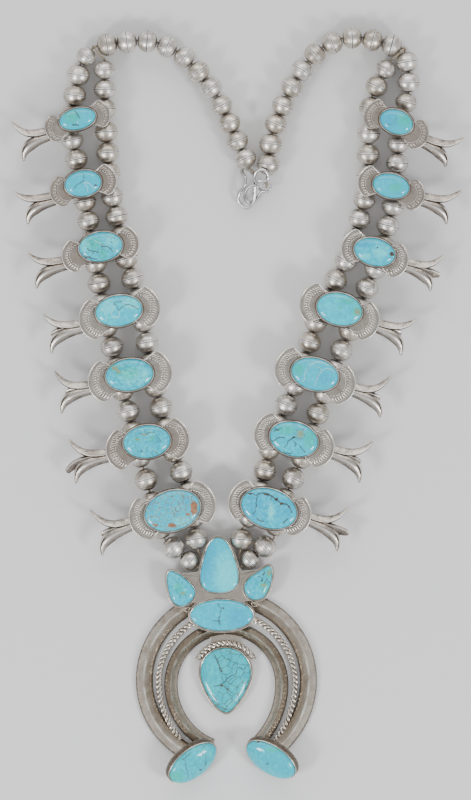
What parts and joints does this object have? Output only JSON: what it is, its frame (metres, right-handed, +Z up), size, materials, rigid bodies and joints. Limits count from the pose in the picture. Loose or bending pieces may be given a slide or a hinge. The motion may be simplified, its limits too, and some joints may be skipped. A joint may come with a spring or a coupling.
{
  "type": "squash blossom necklace",
  "caption": "Necklace lying flat: round silver beads on paired strands, silver blossoms with oval turquoise stones, a horseshoe pendant with turquoise, and a wire hook and eye clasp.",
  "frame": {"origin": "middle of the bounding box at its underside, on the table", "axes": "+Y from the pendant to the clasp, +Z up off the table, to the viewer of the picture"},
  "size_m": [0.197, 0.3289, 0.0162],
  "materials": {
    "silver_blossom": "aged silver, dark in the stamps, worn bright on the edges",
    "silver_naja": "aged silver, brushed",
    "silver_bead": "aged silver, satin",
    "silver_clasp": "bright silver wire",
    "turquoise": "polished, with dark veins in some",
    "thread": "waxed cord"
  },
  "bodies": {
    "root": {"blossom_left_1": "silver_blossom", "blossom_left_2": "silver_blossom", "blossom_left_3": "silver_blossom", "blossom_left_4": "silver_blossom", "blossom_left_5": "silver_blossom", "blossom_left_6": "silver_blossom", "blossom_left_7": "silver_blossom", "blossom_right_1": "silver_blossom", "blossom_right_2": "silver_blossom", "blossom_right_3": "silver_blossom", "blossom_right_4": "silver_blossom", "blossom_right_5": "silver_blossom", "blossom_right_6": "silver_blossom", "blossom_right_7": "silver_blossom", "stone_left_1": "turquoise", "stone_left_2": "turquoise", "stone_left_3": "turquoise", "stone_left_4": "turquoise", "stone_left_5": "turquoise", "stone_left_6": "turquoise", "stone_left_7": "turquoise", "stone_right_1": "turquoise", "stone_right_2": "turquoise", "stone_right_3": "turquoise", "stone_right_4": "turquoise", "stone_right_5": "turquoise", "stone_right_6": "turquoise", "stone_right_7": "turquoise", "naja": "silver_naja", "stone_pear": "turquoise", "stone_leaf_left": "turquoise", "stone_leaf_right": "turquoise", "stone_oval": "turquoise", "stone_drop": "turquoise", "stone_tip_left": "turquoise", "stone_tip_right": "turquoise", "beads_back_left": "silver_bead", "beads_outer_left": "silver_bead", "beads_inner_left": "silver_bead", "beads_back_right": "silver_bead", "beads_outer_right": "silver_bead", "beads_inner_right": "silver_bead", "thread_left": "thread", "thread_right": "thread", "clasp_hook": "silver_clasp", "clasp_eye": "silver_clasp"}
  },
  "joints": []
}
